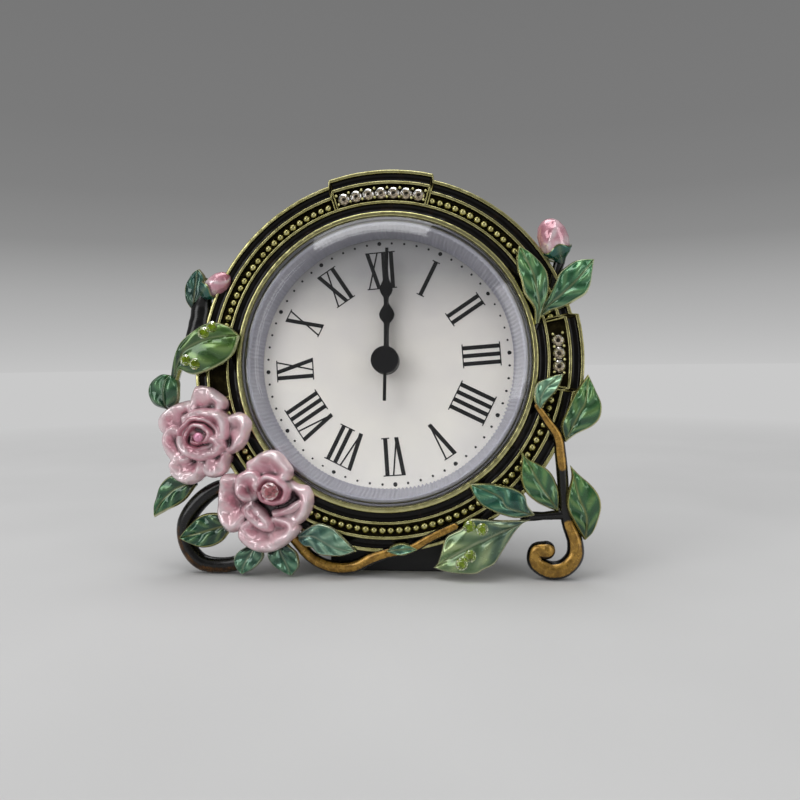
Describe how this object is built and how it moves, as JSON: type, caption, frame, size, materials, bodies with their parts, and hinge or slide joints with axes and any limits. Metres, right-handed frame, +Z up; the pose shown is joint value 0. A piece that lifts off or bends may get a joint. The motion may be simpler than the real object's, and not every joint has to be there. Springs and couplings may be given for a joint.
{
  "type": "desk clock",
  "caption": "Small free-standing quartz desk clock: round enamelled frame with roses, leaves and vines, domed lens, three hands, rear cover with foot and folding leg.",
  "frame": {"origin": "centre of the bounding box on the surface the clock stands on", "axes": "+X to the right of a person reading the dial, +Y away from that person, +Z up"},
  "size_m": [0.077, 0.041, 0.0699],
  "materials": {
    "antique_brass": "aged, dark in the hollows",
    "black_enamel": "glossy enamel",
    "vine_enamel": "glossy enamel, black shading to gold brown",
    "leaf_enamel": "glossy enamel, pale at the veins and rims",
    "rose_enamel": "pearly enamel, grey in the folds",
    "clear_crystal": "cut stone",
    "green_crystal": "cut stone",
    "pink_crystal": "cut stone",
    "lens_acrylic": "polished",
    "sight_ring_metal": "satin with a fine knurl",
    "gasket_rubber": "matte",
    "dial_white": "satin white",
    "print_black": "printed ink",
    "hand_black": "semi-gloss",
    "cover_black": "fine moulded texture",
    "leg_black": "satin paint",
    "steel": "bright",
    "case_plastic": "moulded",
    "wheel_plastic": "moulded nylon",
    "wheel_brass": "machined",
    "knob_plastic": "moulded",
    "magnet": "sintered",
    "coil_copper": "varnished copper wire",
    "board_green": "circuit board",
    "battery_steel": "bright"
  },
  "bodies": {
    "clock_frame": {"ring_casting": "antique_brass", "bead_row": "antique_brass", "inner_channel_enamel": "black_enamel", "outer_channel_enamel": "black_enamel", "clear_stones": "clear_crystal", "green_stones": "green_crystal", "rose_stone": "pink_crystal", "left_loop_vine": "vine_enamel", "bottom_vine": "vine_enamel", "right_vine": "vine_enamel", "buds": "rose_enamel", "rose_upper": "rose_enamel", "rose_lower": "rose_enamel", "rose_pearl": "rose_enamel", "bud_calyxes": "leaf_enamel", "lens": "lens_acrylic", "sight_ring": "sight_ring_metal", "gasket": "gasket_rubber", "dial": "dial_white", "dial_print": "print_black", "movement_holder": "case_plastic", "movement_case": "case_plastic", "stator": "steel", "coil": "coil_copper", "circuit_board": "board_green", "battery": "battery_steel", "battery_contacts": "steel", "back_cover": "cover_black", "cover_screws": "steel", "hinge_pin": "steel", "upper_left_leaf": "leaf_enamel", "curled_leaf": "leaf_enamel", "lower_left_leaf": "leaf_enamel", "loop_leaf": "leaf_enamel", "rose_side_leaf": "leaf_enamel", "stone_leaf": "leaf_enamel", "ring_leaf": "leaf_enamel", "centre_leaf": "leaf_enamel", "right_lower_leaf": "leaf_enamel", "right_upper_leaf": "leaf_enamel", "inner_leaf": "leaf_enamel", "top_left_leaf": "leaf_enamel", "top_right_leaf": "leaf_enamel", "vine_leaflet": "leaf_enamel", "bottom_leaves": "leaf_enamel"},
    "seconds_hand": {"seconds_wheel": "wheel_brass", "seconds_hand": "hand_black"},
    "rotor": {"rotor": "magnet"},
    "step_wheel": {"step_wheel": "wheel_plastic"},
    "third_wheel": {"third_wheel": "wheel_plastic"},
    "centre_wheel": {"centre_wheel": "wheel_brass"},
    "minute_hand": {"cannon_pinion": "wheel_brass", "minute_hand": "hand_black"},
    "minute_wheel": {"minute_wheel": "wheel_plastic"},
    "hour_hand": {"hour_wheel": "wheel_plastic", "hour_hand": "hand_black"},
    "setting_knob": {"setting_knob": "knob_plastic"},
    "battery_hatch": {"battery_hatch": "cover_black"},
    "easel_leg": {"easel_leg": "leg_black"}
  },
  "joints": [
    {"name": "seconds_hand_turn", "type": "hinge", "parent": "clock_frame", "child": "seconds_hand", "pos_m": [0.00265, -0.00697, 0.0361], "axis": [0, 0.9903, -0.1392], "continuous": true},
    {"name": "rotor_turn", "type": "hinge", "parent": "clock_frame", "child": "rotor", "pos_m": [0.00857, -0.00783, 0.03], "axis": [0, 0.9903, -0.1392], "continuous": true},
    {"name": "step_wheel_turn", "type": "hinge", "parent": "clock_frame", "child": "step_wheel", "pos_m": [0.00503, -0.00755, 0.03202], "axis": [0, 0.9903, -0.1392], "continuous": true},
    {"name": "third_wheel_turn", "type": "hinge", "parent": "clock_frame", "child": "third_wheel", "pos_m": [0.00265, -0.00612, 0.04216], "axis": [0, 0.9903, -0.1392], "continuous": true},
    {"name": "centre_wheel_turn", "type": "hinge", "parent": "clock_frame", "child": "centre_wheel", "pos_m": [0.00265, -0.00697, 0.0361], "axis": [0, 0.9903, -0.1392], "continuous": true},
    {"name": "setting_knob_turn", "type": "hinge", "parent": "clock_frame", "child": "setting_knob", "pos_m": [0.01065, -0.00697, 0.0361], "axis": [0, 0.9903, -0.1392], "continuous": true},
    {"name": "minute_wheel_turn", "type": "hinge", "parent": "clock_frame", "child": "minute_wheel", "pos_m": [0.00665, -0.00697, 0.0361], "axis": [0, 0.9903, -0.1392], "continuous": true},
    {"name": "minute_hand_turn", "type": "hinge", "parent": "clock_frame", "child": "minute_hand", "pos_m": [0.00265, -0.00697, 0.0361], "axis": [0, 0.9903, -0.1392], "continuous": true},
    {"name": "hour_hand_turn", "type": "hinge", "parent": "clock_frame", "child": "hour_hand", "pos_m": [0.00265, -0.00697, 0.0361], "axis": [0, 0.9903, -0.1392], "continuous": true},
    {"name": "battery_hatch_slide", "type": "slide", "parent": "clock_frame", "child": "battery_hatch", "axis": [-1, 0, 0], "range_m": [0, 0.0145]},
    {"name": "easel_leg_fold", "type": "hinge", "parent": "clock_frame", "child": "easel_leg", "pos_m": [0.00265, 0.00931, 0.0535], "axis": [1, 0, 0], "range_deg": [-19, 0]}
  ],
  "couplings": [
    {"joint": "rotor_turn", "follows": "seconds_hand_turn", "ratio": 30},
    {"joint": "step_wheel_turn", "follows": "seconds_hand_turn", "ratio": -6},
    {"joint": "third_wheel_turn", "follows": "seconds_hand_turn", "ratio": -0.13333},
    {"joint": "centre_wheel_turn", "follows": "seconds_hand_turn", "ratio": 0.016667},
    {"joint": "minute_wheel_turn", "follows": "setting_knob_turn", "ratio": -0.33333},
    {"joint": "minute_hand_turn", "follows": "setting_knob_turn", "ratio": 1},
    {"joint": "hour_hand_turn", "follows": "setting_knob_turn", "ratio": 0.083333}
  ]
}
